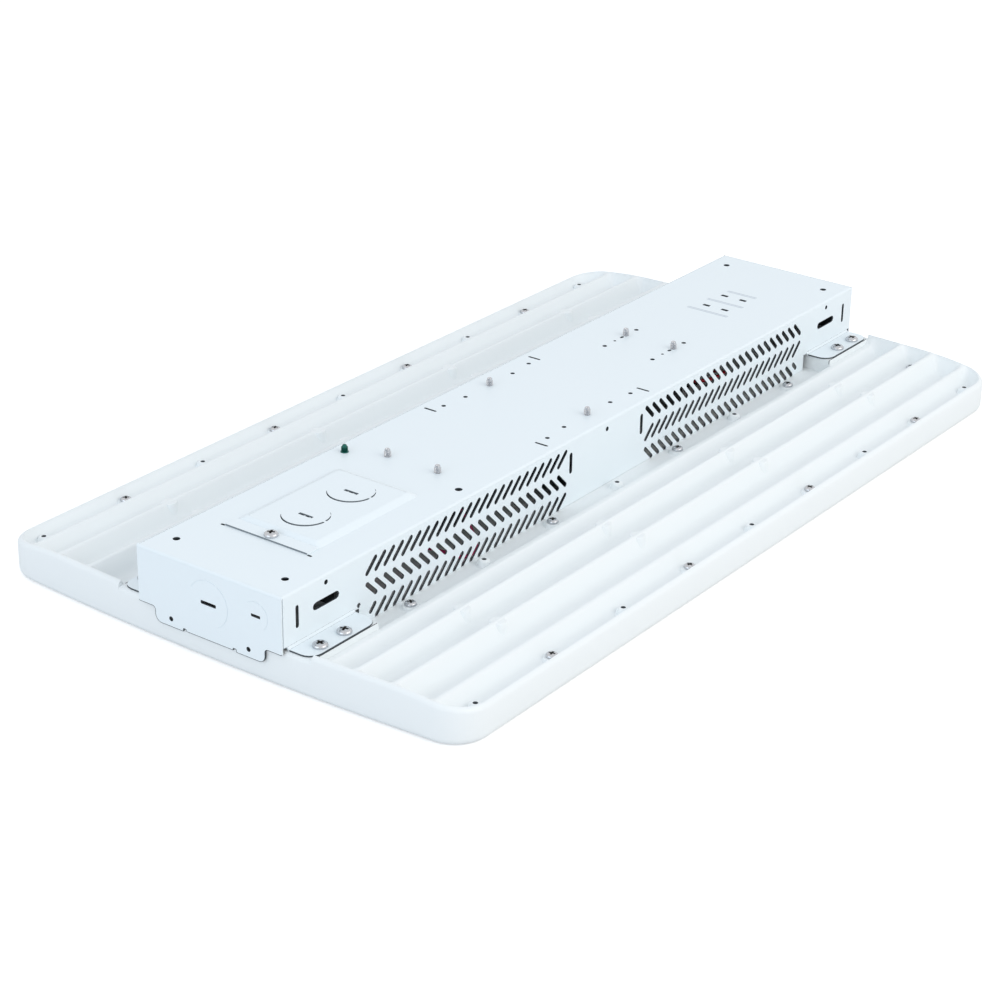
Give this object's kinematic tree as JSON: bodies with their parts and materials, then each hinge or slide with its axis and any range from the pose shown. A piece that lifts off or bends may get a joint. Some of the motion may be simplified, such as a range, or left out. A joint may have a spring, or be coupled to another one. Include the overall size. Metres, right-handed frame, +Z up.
{
  "type": "high bay light",
  "caption": "Linear LED high bay light: ribbed tray with bowed ends, flat lens below and a folded, vented driver channel with knockouts on top.",
  "frame": {"origin": "centre of the tray's underside, in the plane of its bottom rim", "axes": "+X along the light towards the selector windows, +Y across it, +Z up, out of the driver channel"},
  "size_m": [0.61, 0.3412, 0.0625],
  "materials": {
    "tray": "white, satin",
    "lens": "frosted white diffuser",
    "board": "white solder mask on aluminium",
    "led_chip": "yellow phosphor in white package",
    "terminal": "white moulded",
    "painted_steel": "white powder coat",
    "screw": "nickel plated",
    "ground_screw": "green dyed",
    "driver": "black coated case",
    "black_plastic": "black moulded",
    "green_board": "green solder mask",
    "grommet": "black rubber",
    "connector": "orange moulded",
    "wire_black": "black insulation",
    "wire_white": "white insulation",
    "wire_violet": "violet insulation",
    "wire_green": "green insulation",
    "wire_red": "red insulation"
  },
  "bodies": {
    "root": {"tray": "tray", "lens": "lens", "led_board_left": "board", "led_board_right": "board", "led_chips_left": "led_chip", "led_chips_right": "led_chip", "board_terminals": "terminal", "driver_channel": "painted_steel", "access_cover": "painted_steel", "cover_screw": "screw", "ground_screw": "ground_screw", "foot_screws": "screw", "inner_screws": "screw", "outer_screws": "screw", "end_screws": "screw", "driver": "driver", "driver_screws": "screw", "selector_switches": "black_plastic", "switch_board": "green_board", "switch_spacers": "black_plastic", "lead_grommet": "grommet", "wire_connectors": "connector", "supply_lead_black": "wire_black", "supply_lead_white": "wire_white", "dimming_lead_violet": "wire_violet", "ground_lead": "wire_green", "output_leads_red": "wire_red", "output_leads_black": "wire_black"}
  },
  "joints": []
}
